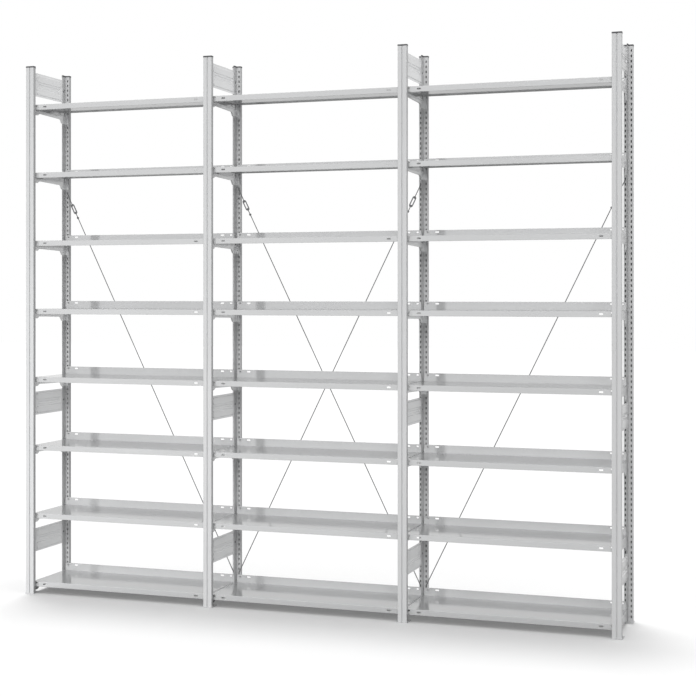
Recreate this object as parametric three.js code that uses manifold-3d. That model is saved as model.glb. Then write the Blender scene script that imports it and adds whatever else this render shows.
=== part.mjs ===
// Archive shelving unit: three bays of folded steel shelves between four frames.
// Millimetres, +Z up, +X along the width, front at -Y, origin on the floor below the middle.
import * as THREE from 'three';
import { mergeVertices } from 'three/addons/utils/BufferGeometryUtils.js';
import Module from 'manifold-3d';

// Overall sizes
const unitHeight = 2705;
const unitDepth = 356;
const postPitch = 1005;
const frameCount = 4;
const fitGap = 0.3;
const jointLap = 0.2;
const cutMargin = 1;

// Uprights: one folded sheet with a box front and a double web
const postWidth = 45;
const postBoxDepth = 20;
const webReach = 30;
const webHalf = 2;
const sheet = 1.5;
const webSlitHalf = 0.9;
const grooveHalf = 3.5;
const grooveFloorHalf = 2.5;
const grooveDepth = 5;
const grooveInnerStep = 1.5;
const slotPitch = 25;
const slotWidth = 6;
const slotHeight = 13;
const slotColumn = 14;

// Shelves
const shelvesPerBay = 8;
const shelfPitch = 14 * slotPitch;
const lowestShelfTop = 60;
const shelfBehindFrontFlange = 4;
const shelfBeforeRearFlange = 11;
const shelfSheet = 1.2;
const shelfFold = 27;
const shelfHem = 10;
const shelfRearLip = 7;
const backStopHeight = 39;
const shelfEndGap = 4.3;
const shelfSlot = { fromPost: 74, length: 20, height: 8, belowBackStopTop: 10 };

// Shelf brackets: a side plate with a ledge, two end flanges and a rear hook
const bracketFront = { leg: 50, waist: 40 };
const bracketRear = { leg: 66, waist: 45 };
const bracketFloorClearance = 4;
const bracketLegLength = 42;
const bracketCurve = 22;
const bracketCurveSteps = 3;
const bracketFlangeTop = 14;
const bracketFlangeFoot = 18;
const bracketLedge = 12;
const bracketTopDrop = 1;
const hookSlotBelowTop = 34;
const hook = { width: 3, height: 8, reach: 4.3, lip: 2, drop: 4 };

// Frame panels, bolted between the two leaves of the webs
const panelSheet = 1.2;
const panelHeight = 120;
const panelInsert = 18;
const panelBottoms = [207, 912, 2558];
const beadRaise = 3;
const beads = [
  { fromPost: 12, bottom: 9, top: 45, corner: 12, side: 1 },
  { fromPost: 26, bottom: 53, top: 67, corner: 6, side: -1 },
  { fromPost: 12, bottom: 75, top: 111, corner: 12, side: 1 },
];
const boltFromWebRoot = 21;
const boltHead = { radius: 5, height: 1.6, sides: 6 };
const boltShankRadius = 2.6;
const boltHoleHalf = 3.2;

// Cap and foot plate of each upright
const capTop = 2;
const capRim = 5;
const capWall = 1;
const footPlate = { width: 54, front: 2, behindWeb: 6, thickness: 3 };

// Diagonal braces, hooked into slots of the rear uprights and running just behind the shelves
const rod = { radius: 2.2, sides: 8, bend: 3, bendSteps: 3, tail: 14, tailBehindFlange: 7 };
const braceTopSlot = 2076;
const braceBottomSlot = 101;
const turnbuckle = {
  fromTop: 91, length: 57, width: 18, thickness: 8, bore: 2.75,
  neckHalf: 5, shoulder: 7, window: 38, windowShoulder: 3, bar: 3.5,
};
const rodEndInWindow = 17;
const rodStraightLead = 20;
const lockNut = { fromCentre: 53.5, radius: 5.8, height: 8, bore: 2.75, sides: 6 };

// Sizes that follow from the ones above
const postFaceY = unitDepth / 2;
const flangeY = postFaceY - postBoxDepth;
const webEndY = flangeY - webReach;
const postBottom = footPlate.thickness - jointLap;
const postTop = unitHeight - capTop;
const shelfLength = postPitch - 2 * shelfEndGap;
const shelfFrontY = -flangeY + shelfBehindFrontFlange;
const shelfRearY = flangeY - shelfBeforeRearFlange;
const shelfTops = Array.from({ length: shelvesPerBay }, (_, level) => lowestShelfTop + level * shelfPitch);
const postX = Array.from({ length: frameCount }, (_, frame) => (frame - (frameCount - 1) / 2) * postPitch);
const bayNames = ['left', 'middle', 'right'];
const bayX = bayNames.map((_, bay) => (postX[bay] + postX[bay + 1]) / 2);
const panelNames = ['bottom', 'middle', 'top'];

const wasm = await Module();
wasm.setup();

function steel(colour, roughness, metalness) {
  return new THREE.MeshStandardMaterial({ color: colour, roughness, metalness });
}

const finishes = {
  paint: () => steel(0xd9dadb, 0.5, 0.1),
  zinc: () => steel(0x9a9da0, 0.4, 0.85),
};

// Position-only copy with shared corners, as the solid library needs it
function bare(geometry) {
  const copy = geometry.clone();
  copy.deleteAttribute('normal');
  copy.deleteAttribute('uv');
  return mergeVertices(copy, 1e-4);
}

function toSolid(geometry) {
  const closed = bare(geometry);
  return new wasm.Manifold(new wasm.Mesh({
    numProp: 3,
    vertProperties: new Float32Array(closed.attributes.position.array),
    triVerts: new Uint32Array(closed.index.array),
  }));
}

function toGeometry(solid) {
  const mesh = solid.getMesh();
  const geometry = new THREE.BufferGeometry();
  geometry.setAttribute('position', new THREE.BufferAttribute(new Float32Array(mesh.vertProperties), 3));
  geometry.setIndex(new THREE.BufferAttribute(new Uint32Array(mesh.triVerts), 1));
  geometry.computeVertexNormals();
  return geometry;
}

// Adds the first list together and takes the second list away
function shaped(added, removed = []) {
  let solid = toSolid(added[0]);
  added.slice(1).forEach((geometry) => {
    solid = solid.add(toSolid(geometry));
  });
  removed.forEach((geometry) => {
    solid = solid.subtract(toSolid(geometry));
  });
  return toGeometry(solid);
}

function block(x0, x1, y0, y1, z0, z1) {
  const geometry = new THREE.BoxGeometry(x1 - x0, y1 - y0, z1 - z0);
  return geometry.translate((x0 + x1) / 2, (y0 + y1) / 2, (z0 + z1) / 2);
}

function outline(points) {
  return new THREE.Shape(points.map(([x, y]) => new THREE.Vector2(x, y)));
}

// Two distances from the middle on one side (+1 or -1), in rising order
function spanOn(side, near, far) {
  return [side * near, side * far].sort((a, b) => a - b);
}

// A flat outline pulled up along Z
function pulledUp(points, z0, z1, holes = []) {
  const shape = outline(points);
  shape.holes = holes.map((hole) => outline(hole));
  const geometry = new THREE.ExtrudeGeometry(shape, { depth: z1 - z0, bevelEnabled: false });
  return geometry.translate(0, 0, z0);
}

// An outline of (y, z) points pulled across along X
function pulledAcross(points, x0, x1) {
  const turn = new THREE.Matrix4().makeBasis(
    new THREE.Vector3(0, 1, 0),
    new THREE.Vector3(0, 0, 1),
    new THREE.Vector3(1, 0, 0),
  );
  return pulledUp(points, x0, x1).applyMatrix4(turn);
}

// An outline of (x, z) points pulled back along Y
function pulledBack(points, y0, y1, holes = []) {
  const turn = new THREE.Matrix4().makeBasis(
    new THREE.Vector3(1, 0, 0),
    new THREE.Vector3(0, 0, 1),
    new THREE.Vector3(0, -1, 0),
  );
  return pulledUp(points, -y1, -y0, holes).applyMatrix4(turn);
}

function ring(radius, sides) {
  return Array.from({ length: sides }, (_, i) => {
    const angle = (2 * Math.PI * (i + 0.5)) / sides;
    return [radius * Math.cos(angle), radius * Math.sin(angle)];
  });
}

// Passes through its points at even steps of the parameter, so each point is one station of a tube
class StationCurve extends THREE.CatmullRomCurve3 {
  getUtoTmapping(u) {
    return u;
  }
}

function rodAlong(stations) {
  const path = new StationCurve(stations, false, 'centripetal');
  return new THREE.ExtrudeGeometry(outline(ring(rod.radius, rod.sides)), {
    steps: stations.length - 1,
    extrudePath: path,
    curveSegments: 1,
  });
}

function piece(name, geometry, finish) {
  const mesh = new THREE.Mesh(geometry, finishes[finish]());
  mesh.name = name;
  return mesh;
}

// T outline of an upright, seen from above, with its face on y = 0 and its web towards +Y
function teeOutline(grow) {
  const half = postWidth / 2 + grow;
  const back = postBoxDepth + grow;
  const web = webHalf + grow;
  const tip = postBoxDepth + webReach + grow;
  return [
    [-half, -grow], [half, -grow], [half, back], [web, back],
    [web, tip], [-web, tip], [-web, back], [-half, back],
  ];
}

function postSection() {
  const half = postWidth / 2;
  const inner = half - sheet;
  const back = postBoxDepth;
  const tip = postBoxDepth + webReach;
  const rightOutside = [
    [grooveFloorHalf, grooveDepth], [grooveHalf, 0], [half, 0], [half, back], [webHalf, back], [webHalf, tip],
  ];
  const rightInside = [
    [webSlitHalf, tip], [webSlitHalf, back - sheet], [inner, back - sheet], [inner, sheet],
    [grooveHalf + grooveInnerStep, sheet], [grooveFloorHalf + grooveInnerStep, grooveDepth + sheet],
  ];
  const right = rightOutside.concat(rightInside);
  const left = right.map(([x, y]) => [-x, y]).reverse();
  return right.concat(left);
}

// One slot in the inner flange of a post, side being +1 for its own +X and -1 for -X
function flangeSlot(side, z) {
  const x = side * slotColumn;
  return block(x - slotWidth / 2, x + slotWidth / 2, postBoxDepth - sheet - cutMargin,
    postBoxDepth + cutMargin, z - slotHeight / 2, z + slotHeight / 2);
}

function panelBoltHoles() {
  const x = webHalf + cutMargin;
  const y = postBoxDepth + boltFromWebRoot;
  return panelBottoms.map((bottom) => {
    const z = bottom + panelHeight / 2;
    return block(-x, x, y - boltHoleHalf, y + boltHoleHalf, z - boltHoleHalf, z + boltHoleHalf);
  });
}

function cap() {
  return pulledUp(teeOutline(capWall), postTop - capRim, unitHeight);
}

function foot() {
  const half = footPlate.width / 2;
  const far = postBoxDepth + webReach + footPlate.behindWeb;
  return block(-half, half, -footPlate.front, far, 0, footPlate.thickness);
}

function postBody() {
  return [pulledUp(postSection(), postBottom, postTop), cap(), foot()];
}

// Which sides of a frame look into a bay: -1 for its left, +1 for its right
function baySides(frame) {
  const sides = [];
  if (frame > 0) sides.push(-1);
  if (frame < frameCount - 1) sides.push(1);
  return sides;
}

// A front upright carries the brackets of its frame; the lowest ones are cut short above the floor
function frontUpright(frame) {
  const brackets = baySides(frame).flatMap((side) => {
    const usual = bare(bracket(side, bracketRear.leg));
    const lowest = bare(bracket(side, lowestShelfTop - bracketFloorClearance));
    return shelfTops.map((top, level) => (
      (level === 0 ? lowest : usual).clone().translate(0, postFaceY, top)));
  });
  const geometry = shaped([...postBody(), ...brackets], panelBoltHoles());
  const body = piece(`upright_front_${frame + 1}`, geometry, 'paint');
  body.position.set(postX[frame], -postFaceY, 0);
  return body;
}

// A rear upright is turned half a turn, so its own +X looks to the left of the unit
function rearUpright(frame) {
  const bracketSlots = baySides(frame).flatMap((side) => (
    shelfTops.map((top) => flangeSlot(-side, top - hookSlotBelowTop))));
  const braceSlots = braces.flatMap((brace) => {
    if (brace.top === frame) return [flangeSlot(-brace.way, braceTopSlot)];
    if (brace.bottom === frame) return [flangeSlot(brace.way, braceBottomSlot)];
    return [];
  });
  const geometry = shaped(postBody(), [...bracketSlots, ...braceSlots, ...panelBoltHoles()]);
  const body = piece(`upright_rear_${frame + 1}`, geometry, 'paint');
  body.position.set(postX[frame], postFaceY, 0);
  body.rotation.z = Math.PI;
  return body;
}

function shelf() {
  const halfX = shelfLength / 2;
  const front = shelfFrontY;
  const rear = shelfRearY;
  const tray = block(-halfX, halfX, front, rear, -shelfFold, 0);
  const hollow = block(-halfX + shelfSheet, halfX - shelfSheet, front + shelfSheet, rear + cutMargin,
    -shelfFold - cutMargin, -shelfSheet);
  const hem = block(-halfX, halfX, front, front + shelfHem, -shelfFold, -shelfFold + shelfSheet);
  const rearLip = block(-halfX, halfX, rear - 2 * shelfSheet, rear, -shelfRearLip, -shelfSheet + jointLap);
  const backStop = block(-halfX, halfX, rear - shelfSheet, rear, -shelfSheet, backStopHeight);
  const slotX = postPitch / 2 - shelfSlot.fromPost;
  const slotPlaces = [
    { y: front, z: -shelfFold / 2 },
    { y: rear, z: backStopHeight - shelfSlot.belowBackStopTop },
  ];
  const reach = shelfSheet + cutMargin;
  const slots = [-slotX, slotX].flatMap((x) => slotPlaces.map(({ y, z }) => (
    block(x - shelfSlot.length / 2, x + shelfSlot.length / 2, y - reach, y + reach,
      z - shelfSlot.height / 2, z + shelfSlot.height / 2))));
  const folded = toGeometry(toSolid(tray).subtract(toSolid(hollow)));
  return shaped([folded, hem, rearLip, backStop], slots);
}

// Bracket on one side of a frame; its origin is the frame's middle at the shelf surface
function bracket(side, rearLeg) {
  const end = flangeY - fitGap;
  const plateEnd = end - sheet;
  const legInner = plateEnd - bracketLegLength;
  const near = webHalf + fitGap;

  // One half of the plate's outline: down the end, along the foot of the leg and up to the waist
  const plateHalf = (leg, waist) => {
    const curve = Array.from({ length: bracketCurveSteps + 1 }, (_, i) => {
      const t = i / bracketCurveSteps;
      return [legInner - bracketCurve * t, -leg + (leg - waist) * (1 - Math.cos(Math.PI * t)) / 2];
    });
    return [[plateEnd, -bracketTopDrop], [plateEnd, -leg], ...curve];
  };
  const frontHalf = plateHalf(bracketFront.leg, bracketFront.waist).map(([y, z]) => [-y, z]).reverse();
  const plateOutline = plateHalf(rearLeg, bracketRear.waist).concat(frontHalf);
  const plate = pulledAcross(plateOutline, ...spanOn(side, near, near + sheet));

  const ledgeTop = -shelfFold - fitGap;
  const ledge = block(...spanOn(side, near, bracketLedge), -legInner, legInner, ledgeTop - sheet, ledgeTop);

  const flangeOutline = (leg) => [
    [near, -bracketTopDrop], [bracketFlangeTop, -bracketTopDrop], [bracketFlangeFoot, -leg], [near, -leg],
  ].map(([x, z]) => [side * x, z]);
  const frontFlange = pulledBack(flangeOutline(bracketFront.leg), -flangeY - jointLap, -plateEnd + jointLap);
  const rearFlange = pulledBack(flangeOutline(rearLeg), plateEnd - jointLap, end);

  const slotFloor = -hookSlotBelowTop - slotHeight / 2;
  const tongueTop = slotFloor + fitGap + hook.height;
  const tip = flangeY + hook.reach;
  const tongue = [
    [plateEnd + jointLap, tongueTop], [tip, tongueTop], [tip, slotFloor - hook.drop],
    [tip - hook.lip, slotFloor - hook.drop], [tip - hook.lip, slotFloor + fitGap],
    [plateEnd + jointLap, slotFloor + fitGap],
  ];
  const hookSpan = spanOn(side, slotColumn - hook.width / 2, slotColumn + hook.width / 2);
  const rearHook = pulledAcross(tongue, ...hookSpan);
  return shaped([plate, ledge, frontFlange, rearFlange, rearHook]);
}

// Bead outline with cut corners, as (y, z) points
function beadOutline(halfLength, z0, z1, corner) {
  const rear = [
    [halfLength - corner, z0], [halfLength, z0 + corner],
    [halfLength, z1 - corner], [halfLength - corner, z1],
  ];
  const front = rear.map(([y, z]) => [-y, z]).reverse();
  return rear.concat(front);
}

function panelBolt() {
  const inner = webHalf + fitGap;
  const outer = inner + boltHead.height;
  const profile = [
    [0, -outer], [boltHead.radius, -outer], [boltHead.radius, -inner], [boltShankRadius, -inner],
    [boltShankRadius, inner], [boltHead.radius, inner], [boltHead.radius, outer], [0, outer],
  ].map(([x, y]) => new THREE.Vector2(x, y));
  return new THREE.LatheGeometry(profile, boltHead.sides).rotateZ(-Math.PI / 2);
}

// An embossed sheet with a bolt through each end; its outer beads stand out to +X, the middle one to -X
function framePanel() {
  const halfY = webEndY + panelInsert;
  const plateHalf = panelSheet / 2;
  const plate = block(-plateHalf, plateHalf, -halfY, halfY, 0, panelHeight);
  const raised = beads.map(({ fromPost, bottom, top, corner, side }) => {
    const outside = beadOutline(webEndY - fromPost, bottom, top, corner);
    return pulledAcross(outside, ...spanOn(side, plateHalf - jointLap, plateHalf + beadRaise));
  });
  const hollows = beads.map(({ fromPost, bottom, top, corner, side }) => {
    const inside = beadOutline(webEndY - fromPost - panelSheet, bottom + panelSheet, top - panelSheet,
      corner - panelSheet / 2);
    return pulledAcross(inside, ...spanOn(side, -plateHalf - cutMargin, plateHalf + beadRaise - panelSheet));
  });
  const boltY = flangeY - boltFromWebRoot;
  const bolts = [-boltY, boltY].map((y) => panelBolt().translate(0, y, panelHeight / 2));
  return shaped([shaped([plate, ...raised], hollows), ...bolts]);
}

// The four braces: which posts they join, and how far the rod bows forward where two of them cross
const braces = [
  { name: 'left', top: 0, bottom: 1, bow: 0 },
  { name: 'middle_falling', top: 1, bottom: 2, bow: 0 },
  { name: 'middle_rising', top: 2, bottom: 1, bow: 2 * rod.radius + fitGap },
  { name: 'right', top: 3, bottom: 2, bow: 0 },
].map((brace) => ({ ...brace, way: Math.sign(postX[brace.bottom] - postX[brace.top]) }));

// The straight line of a brace between its two slots; each rod rests on the slot edge that takes the pull
function braceLine(brace) {
  const y = flangeY - fitGap - rod.radius;
  const edge = slotHeight / 2 - fitGap - rod.radius;
  const reach = brace.way * slotColumn;
  const start = new THREE.Vector3(postX[brace.top] + reach, y, braceTopSlot - edge);
  const end = new THREE.Vector3(postX[brace.bottom] - reach, y, braceBottomSlot + edge);
  const direction = end.clone().sub(start).normalize();
  const centre = start.clone().addScaledVector(direction, turnbuckle.fromTop);
  return { start, end, direction, centre };
}

// Stations of a round quarter turn that begins in one direction and ends in another
function quarterTurn(begin, fromWay, toWay) {
  return Array.from({ length: rod.bendSteps + 1 }, (_, i) => {
    const angle = (Math.PI / 2) * (i / rod.bendSteps);
    return begin.clone()
      .addScaledVector(fromWay, rod.bend * Math.sin(angle))
      .addScaledVector(toWay, rod.bend * (1 - Math.cos(angle)));
  });
}

// Hooked end of a rod: a tail inside the post, out through the slot and over to the slope of the brace.
// The tail points up (+1) or down (-1) from the place where the rod passes the slot.
function hookStations(place, tailWay, slope) {
  const outOfPost = new THREE.Vector3(0, -1, 0);
  const alongTail = new THREE.Vector3(0, 0, -tailWay);
  const tailY = flangeY + rod.tailBehindFlange;
  const tailEnd = new THREE.Vector3(place.x, tailY, place.z + tailWay * rod.tail);
  const tailBend = new THREE.Vector3(place.x, tailY, place.z + tailWay * rod.bend);
  const slotBend = place.clone().addScaledVector(outOfPost, -rod.bend);
  return [
    tailEnd,
    ...quarterTurn(tailBend, alongTail, outOfPost),
    ...quarterTurn(slotBend, outOfPost, slope),
  ];
}

function upperRod(brace) {
  const { start, direction, centre } = braceLine(brace);
  const tip = centre.clone().addScaledVector(direction, -rodEndInWindow);
  const beforeTip = start.clone().lerp(tip, 0.5);
  return rodAlong([...hookStations(start, 1, direction), beforeTip, tip]);
}

function lowerRod(brace) {
  const { start, end, direction, centre } = braceLine(brace);
  const upSlope = direction.clone().negate();
  const nearEnd = end.clone().addScaledVector(upSlope, rodStraightLead);
  const crossing = start.clone().lerp(end, 0.5);
  crossing.y -= brace.bow;
  const belowNut = centre.clone().addScaledVector(direction, lockNut.fromCentre + rodStraightLead);
  const tip = centre.clone().addScaledVector(direction, rodEndInWindow);
  return rodAlong([...hookStations(end, -1, upSlope), nearEnd, crossing, belowNut, tip]);
}

// Turns a shape built along +Z until it lies along a brace, centred on the given place
function laidAlong(mesh, place, direction) {
  mesh.position.copy(place);
  mesh.quaternion.setFromUnitVectors(new THREE.Vector3(0, 0, 1), direction);
  return mesh;
}

// Outline with narrow ends and shoulders, as (x, z) points
function shoulderedOutline(halfWidth, endHalf, halfLength, shoulder) {
  const right = [
    [endHalf, -halfLength], [halfWidth, -halfLength + shoulder],
    [halfWidth, halfLength - shoulder], [endHalf, halfLength],
  ];
  const left = right.map(([x, z]) => [-x, z]).reverse();
  return right.concat(left);
}

function turnbuckleBody() {
  const { length, width, thickness, bore, neckHalf, shoulder, window, windowShoulder, bar } = turnbuckle;
  const inner = width / 2 - bar;
  const body = shoulderedOutline(width / 2, neckHalf, length / 2, shoulder);
  const opening = shoulderedOutline(inner, inner / 2, window / 2, windowShoulder);
  const frame = pulledBack(body, -thickness / 2, thickness / 2, [opening]);
  const boreReach = length / 2 + cutMargin;
  return shaped([frame], [pulledUp(ring(bore, rod.sides), -boreReach, boreReach)]);
}

function nut() {
  const { radius, height, bore, sides } = lockNut;
  return pulledUp(ring(radius, sides), -height / 2, height / 2, [ring(bore, rod.sides)]);
}

const unit = new THREE.Group();
unit.name = 'archive_shelving_unit';

postX.forEach((x, frame) => {
  unit.add(frontUpright(frame), rearUpright(frame));
  panelBottoms.forEach((bottom, row) => {
    const panel = piece(`frame_panel_${panelNames[row]}_${frame + 1}`, framePanel(), 'paint');
    panel.position.set(x, 0, bottom);
    unit.add(panel);
  });
});

bayNames.forEach((bayName, bay) => {
  shelfTops.forEach((top, level) => {
    const board = piece(`shelf_${bayName}_${level + 1}`, shelf(), 'paint');
    board.position.set(bayX[bay], 0, top);
    unit.add(board);
  });
});

braces.forEach((brace) => {
  const { centre, direction } = braceLine(brace);
  const nutPlace = centre.clone().addScaledVector(direction, lockNut.fromCentre);
  unit.add(piece(`brace_hook_${brace.name}`, upperRod(brace), 'zinc'));
  unit.add(piece(`brace_rod_${brace.name}`, lowerRod(brace), 'zinc'));
  unit.add(laidAlong(piece(`turnbuckle_${brace.name}`, turnbuckleBody(), 'zinc'), centre, direction));
  unit.add(laidAlong(piece(`lock_nut_${brace.name}`, nut(), 'zinc'), nutPlace, direction));
});

export default unit;
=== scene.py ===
# Archive shelving unit: three bays of folded steel shelves between four frames
import math
import bmesh
import bpy
from mathutils import Matrix, Vector
from mathutils.geometry import delaunay_2d_cdt


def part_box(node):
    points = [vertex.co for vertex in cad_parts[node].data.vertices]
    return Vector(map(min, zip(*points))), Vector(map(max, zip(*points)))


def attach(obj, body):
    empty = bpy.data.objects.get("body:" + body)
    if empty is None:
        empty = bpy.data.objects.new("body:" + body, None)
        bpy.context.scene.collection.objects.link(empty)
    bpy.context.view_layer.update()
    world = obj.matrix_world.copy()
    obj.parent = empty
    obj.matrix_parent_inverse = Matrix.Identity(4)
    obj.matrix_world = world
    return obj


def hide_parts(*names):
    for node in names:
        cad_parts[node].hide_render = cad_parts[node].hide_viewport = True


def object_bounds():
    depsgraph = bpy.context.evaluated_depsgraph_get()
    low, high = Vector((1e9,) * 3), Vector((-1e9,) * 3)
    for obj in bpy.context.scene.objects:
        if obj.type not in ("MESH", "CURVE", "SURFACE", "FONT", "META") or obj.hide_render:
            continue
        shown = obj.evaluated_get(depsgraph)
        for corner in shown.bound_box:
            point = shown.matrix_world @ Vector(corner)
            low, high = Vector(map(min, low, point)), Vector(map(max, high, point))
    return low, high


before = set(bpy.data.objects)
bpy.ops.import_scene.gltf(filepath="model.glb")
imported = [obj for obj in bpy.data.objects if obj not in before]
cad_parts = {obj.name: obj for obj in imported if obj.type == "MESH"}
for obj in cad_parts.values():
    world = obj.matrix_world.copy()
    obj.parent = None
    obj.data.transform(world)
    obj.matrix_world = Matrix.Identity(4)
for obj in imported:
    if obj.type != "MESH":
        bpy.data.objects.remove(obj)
cadLow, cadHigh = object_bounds()
print("frame loaded:", len(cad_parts), "solids")

mm = 0.001  # sizes below are in millimetres, and the pieces are made in metres
least = 0.01  # a smaller gap or miss counts as none


def newObject(name, data):
    made = bpy.data.objects.new(name, data)
    bpy.context.scene.collection.objects.link(made)
    return made


# Camera, at the angle of the photograph
cameraView = {
    "place": (2494.2, -6255.2, 1539.9),
    "turn": 17.957,           # degrees to the left of straight at the unit's front
    "focalPixels": 1367.6,
    "pictureSize": 696,
    "axisPixel": (406.6, 293.3),  # where the lens axis meets the picture
    "sensor": 36.0,
    "farthest": 200,          # metres
}


def addCamera():
    size = cameraView["pictureSize"]
    data = bpy.data.cameras.new("photoCamera")
    data.sensor_width = cameraView["sensor"]
    data.lens = cameraView["focalPixels"] / size * cameraView["sensor"]
    data.shift_x = 0.5 - cameraView["axisPixel"][0] / size
    data.shift_y = cameraView["axisPixel"][1] / size - 0.5
    data.clip_end = cameraView["farthest"]
    camera = newObject("photoCamera", data)
    camera.location = [value * mm for value in cameraView["place"]]
    camera.rotation_euler = (math.radians(90), 0, math.radians(cameraView["turn"]))
    bpy.context.scene.camera = camera


# Places that everything hangs on, read from the frame
def nodeBox(node):
    low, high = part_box(node)
    return [value / mm for value in low], [value / mm for value in high]


bayNames = ["left", "middle", "right"]
levels = range(1, 9)
frameNumbers = range(1, 5)
postX = {}
for number in frameNumbers:
    low, high = nodeBox(f"upright_front_{number}")
    postX[number] = (low[0] + high[0]) / 2
unitHeight = cadHigh.z / mm
addCamera()
print("camera placed")


# Shape tools: a part is (points, faces) in millimetres, and makeMesh makes its mesh
def joined(parts):
    points, faces = [], []
    for partPoints, partFaces in parts:
        start = len(points)
        points += partPoints
        faces += [[start + index for index in face] for face in partFaces]
    return points, faces


def movedBy(part, x=0, y=0, z=0):
    return [(px + x, py + y, pz + z) for px, py, pz in part[0]], part[1]


def stretchedBy(part, x=1, y=1, z=1):
    return [(px * x, py * y, pz * z) for px, py, pz in part[0]], part[1]


def corner2d(before, here, after, radius, steps, lead):
    # a rounded corner, with a support point on the flat at each side of the bend
    before, here, after = Vector(before[:2]), Vector(here[:2]), Vector(after[:2])
    backward = (before - here).normalized()
    forward = (after - here).normalized()
    half = backward.angle(forward) / 2
    reach = radius / math.tan(half)
    centre = here + (backward + forward).normalized() * (radius / math.sin(half))
    first = here + backward * reach - centre
    last = here + forward * reach - centre
    startAngle = math.atan2(first.y, first.x)
    sweep = math.atan2(first.x * last.y - first.y * last.x, first.dot(last))
    points = [centre + first + backward * lead] if lead else []
    for k in range(steps + 1):
        angle = startAngle + sweep * k / steps
        points.append(centre + radius * Vector((math.cos(angle), math.sin(angle))))
    if lead:
        points.append(centre + last + forward * lead)
    return points


def foldLine(corners, steps=3, lead=0.5):
    # corners are (a, b), (a, b, bend radius) or (a, b, bend radius, lead)
    points = [Vector(corners[0][:2])]
    for before, here, after in zip(corners, corners[1:], corners[2:]):
        if len(here) > 2:
            ownLead = here[3] if len(here) == 4 else lead
            points += corner2d(before, here, after, here[2], steps, ownLead)
        else:
            points.append(Vector(here))
    points.append(Vector(corners[-1][:2]))
    return points


def roundLoop(corners, radius, steps=3):
    points = []
    for k, here in enumerate(corners):
        before, after = corners[k - 1], corners[(k + 1) % len(corners)]
        own = here[2] if len(here) == 3 else radius
        points += corner2d(before, here, after, own, steps, 0)
    return points


def flatRing(corners, radius, z):
    return [(point.x, point.y, z) for point in roundLoop(corners, radius)]


def slotLoop(s, t, wide, high, count=12):
    # a slot with round ends, or a round hole where wide and high are alike, from its lower left on
    radius = min(wide, high) / 2
    loop = []
    for k in range(count):
        angle = math.radians(-135) + math.tau * k / count
        across, up = math.cos(angle), math.sin(angle)
        loop.append((s + across * radius + math.copysign(wide / 2 - radius, across),
                     t + up * radius + math.copysign(high / 2 - radius, up)))
    return loop


def sheetNormal(row, i):
    here = Vector(row[i][:2])
    into = (here - Vector(row[max(i - 1, 0)][:2])).normalized()
    out = (Vector(row[min(i + 1, len(row) - 1)][:2]) - here).normalized()
    if i == 0:
        into = out
    if i == len(row) - 1:
        out = into
    middle = (into + out).normalized()
    stretch = 1 / max(middle.dot(into), 0.5)  # a sharp fold at most doubles it
    return -middle.y * stretch, middle.x * stretch


def bentSheet(grid, thickness, place, holes=()):
    # grid[j][i] is (a, b, t): fold point i of the sheet's middle line, in row j
    rows, count = len(grid), len(grid[0])
    sides = (thickness / 2, -thickness / 2)
    points, faces = [], []
    for offset in sides:
        for row in grid:
            for i, (a, b, t) in enumerate(row):
                normalA, normalB = sheetNormal(row, i)
                points.append(place(a + normalA * offset, b + normalB * offset, t))

    def at(side, j, i):
        return (side * rows + j) * count + i

    def bothSides(front, back):
        faces.append(front)
        faces.append(back[::-1])

    punched = {(j, i): loop for j, i, loop in holes}
    for j in range(rows - 1):
        for i in range(count - 1):
            corners = [[at(side, j, i), at(side, j, i + 1), at(side, j + 1, i + 1), at(side, j + 1, i)]
                       for side in (0, 1)]
            if (j, i) not in punched:
                bothSides(*corners)
                continue
            loop = punched[j, i]
            start, end = Vector(grid[j][i][:2]), Vector(grid[j][i + 1][:2])
            along = (end - start).normalized()
            rims = []
            for offset in sides:
                rims.append(range(len(points), len(points) + len(loop)))
                for s, t in loop:
                    a = start.x + along.x * s - along.y * offset
                    b = start.y + along.y * s + along.x * offset
                    points.append(place(a, b, t))
            quarter = len(loop) // 4
            for side in range(4):
                ends = (side, (side + 1) % 4)
                arc = [(side * quarter + k) % len(loop) for k in range(quarter, -1, -1)]
                bothSides(*[[corners[s][ends[0]], corners[s][ends[1]]] + [rims[s][k] for k in arc]
                            for s in (0, 1)])
            for k in range(len(loop)):
                after = (k + 1) % len(loop)
                faces.append([rims[0][k], rims[1][k], rims[1][after], rims[0][after]])
    for j in range(rows - 1):
        for i in (0, count - 1):
            faces.append([at(0, j, i), at(0, j + 1, i), at(1, j + 1, i), at(1, j, i)])
    for i in range(count - 1):
        for j in (0, rows - 1):
            faces.append([at(0, j, i), at(0, j, i + 1), at(1, j, i + 1), at(1, j, i)])
    return points, faces


def punch(line, marks, a, b, t, wide, high):
    # a hole at (a, b) on the fold line and t along it, as (row, fold segment, loop)
    spot = Vector((a, b))
    for i, (start, end) in enumerate(zip(line, line[1:])):
        along = end - start
        s = (spot - start).dot(along) / along.length
        if 0 < s < along.length and (start + along.normalized() * s - spot).length < least:
            j = max(k for k, mark in enumerate(marks) if mark < t)
            return j, i, slotLoop(s, t, wide, high)
    raise ValueError(f"no flat of the fold line passes {a}, {b}")


def straightGrid(line, marks):
    return [[(point.x, point.y, t) for point in line] for t in marks]


def loft(rings, closed=False):
    count = len(rings[0])
    points = [tuple(point) for ring in rings for point in ring]
    faces = []
    last = len(rings) if closed else len(rings) - 1
    for lower in range(last):
        upper = (lower + 1) % len(rings)
        for k in range(count):
            after = (k + 1) % count
            faces.append([lower * count + k, lower * count + after,
                          upper * count + after, upper * count + k])
    if not closed:
        faces.append(list(range(count))[::-1])
        faces.append([(len(rings) - 1) * count + k for k in range(count)])
    return points, faces


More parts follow.
